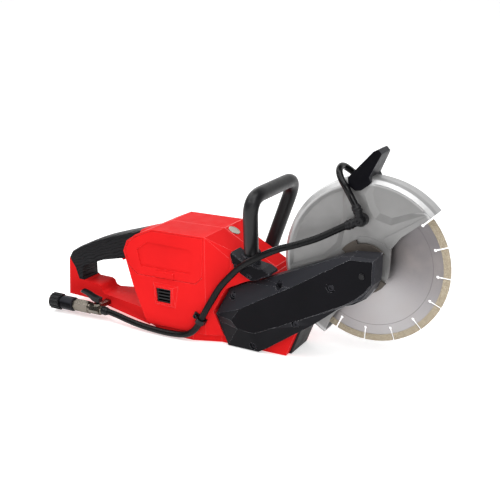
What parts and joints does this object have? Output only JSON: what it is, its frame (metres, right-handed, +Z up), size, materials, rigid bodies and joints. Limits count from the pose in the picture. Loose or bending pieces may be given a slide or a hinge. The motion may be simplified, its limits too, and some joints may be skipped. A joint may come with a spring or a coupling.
{
  "type": "rescue saw",
  "caption": "Cordless cut-off saw with a diamond blade under a swinging cast guard, a belt-drive arm, a water hose, a rear D-handle and a front loop handle.",
  "frame": {"origin": "centre of the flat sole that the saw stands on", "axes": "+X forward to the blade, +Y to the saw's left side, +Z up"},
  "size_m": [0.647, 0.1599, 0.311],
  "materials": {
    "red_plastic": "semi-gloss moulded",
    "black_plastic": "fine grained",
    "black_paint": "satin powder coat on cast or tube metal",
    "soft_grip": "matte overmoulded grip with wavy ribs",
    "rubber": "matte",
    "cast_metal": "satin grey die cast",
    "steel": "turned",
    "zinc_steel": "dark zinc plated",
    "blade_steel": "circular brushed with sintered diamond rim",
    "nickel": "nickel plated",
    "laminated_steel": "stacked laminations",
    "circuit_board": "coated board"
  },
  "bodies": {
    "chassis": {"right_body_shell": "red_plastic", "left_body_shell": "red_plastic", "side_cover": "red_plastic", "side_vent_grille": "black_plastic", "base_foot": "red_plastic", "front_bumper": "rubber", "arm_frame": "black_paint", "belt_cover": "black_paint", "belt_cover_screw_1": "zinc_steel", "belt_cover_screw_2": "zinc_steel", "belt_cover_screw_3": "zinc_steel", "belt_cover_screw_4": "zinc_steel", "belt_cover_screw_5": "zinc_steel", "drive_belt": "rubber", "spindle_bearing": "steel", "motor_stator": "laminated_steel", "front_motor_bearing": "steel", "rear_motor_bearing": "steel", "control_board": "circuit_board", "battery_terminal_block": "black_plastic", "rear_handle_right": "red_plastic", "rear_handle_left": "red_plastic", "rear_grip": "soft_grip", "trigger_switch": "black_plastic", "front_handle": "black_paint", "handle_bracket_right": "black_paint", "handle_bracket_left": "black_paint", "bracket_screw_1": "zinc_steel", "bracket_screw_2": "zinc_steel", "hose_rear": "rubber", "hose_front": "rubber", "hose_clip": "black_plastic", "hose_clip_screw": "zinc_steel", "water_valve_body": "nickel", "hex_fitting": "nickel", "coupling_barrel": "black_paint"},
    "spindle": {"spindle_shaft": "steel", "spindle_pulley": "steel", "inner_flange": "steel", "outer_flange": "steel", "diamond_blade": "blade_steel", "blade_bolt": "zinc_steel"},
    "rotor": {"motor_shaft": "steel", "motor_rotor": "laminated_steel", "motor_pulley": "steel", "cooling_fan": "black_plastic"},
    "guard": {"guard_shell": "cast_metal", "guard_clamp_ring": "zinc_steel", "guard_handle": "soft_grip", "water_tee": "black_plastic", "crossover_pipe": "black_plastic"},
    "trigger": {"trigger": "black_plastic"},
    "lock_off": {"lock_off_lever": "red_plastic"},
    "valve": {"valve_lever": "black_plastic"},
    "collar": {"coupling_collar": "black_plastic"},
    "battery": {"battery_pack": "black_plastic"},
    "battery_button": {"battery_release_button": "red_plastic"},
    "lock_button": {"spindle_lock_button": "black_plastic"}
  },
  "joints": [
    {"name": "spindle_spin", "type": "hinge", "parent": "chassis", "child": "spindle", "pos_m": [0.206, 0, 0.144], "axis": [0, 1, 0], "continuous": true},
    {"name": "rotor_spin", "type": "hinge", "parent": "chassis", "child": "rotor", "pos_m": [0.026, 0, 0.046], "axis": [0, 1, 0], "continuous": true},
    {"name": "guard_swing", "type": "hinge", "parent": "chassis", "child": "guard", "pos_m": [0.206, 0, 0.144], "axis": [0, 1, 0], "range_deg": [-15, 25], "deforming": ["hose_front"]},
    {"name": "trigger_pull", "type": "hinge", "parent": "chassis", "child": "trigger", "pos_m": [-0.178, -0.005, 0.108], "axis": [0, 1, 0], "range_deg": [0, 8], "stiffness_Nm_per_rad": 0.5, "springref_deg": -8.59},
    {"name": "lock_off_press", "type": "hinge", "parent": "trigger", "child": "lock_off", "pos_m": [-0.209, -0.005, 0.103], "axis": [0, 1, 0], "range_deg": [-14, 0], "stiffness_Nm_per_rad": 0.05, "springref_deg": 11.46},
    {"name": "valve_turn", "type": "hinge", "parent": "chassis", "child": "valve", "pos_m": [-0.234, -0.062, 0.035], "axis": [0, 0, 1], "range_deg": [0, 90]},
    {"name": "collar_slide", "type": "slide", "parent": "chassis", "child": "collar", "axis": [1, 0, 0], "range_m": [0, 0.004], "stiffness_N_per_m": 400, "springref_m": -0.002},
    {"name": "battery_slide", "type": "slide", "parent": "chassis", "child": "battery", "axis": [0, 1, 0], "range_m": [0, 0.09]},
    {"name": "battery_button_press", "type": "slide", "parent": "battery", "child": "battery_button", "axis": [0, -1, 0], "range_m": [0, 0.003], "stiffness_N_per_m": 600, "springref_m": -0.001},
    {"name": "spindle_lock_press", "type": "slide", "parent": "chassis", "child": "lock_button", "axis": [0, 1, 0], "range_m": [0, 0.0035], "stiffness_N_per_m": 500, "springref_m": -0.001}
  ],
  "couplings": [
    {"joint": "rotor_spin", "follows": "spindle_spin", "ratio": 2}
  ]
}
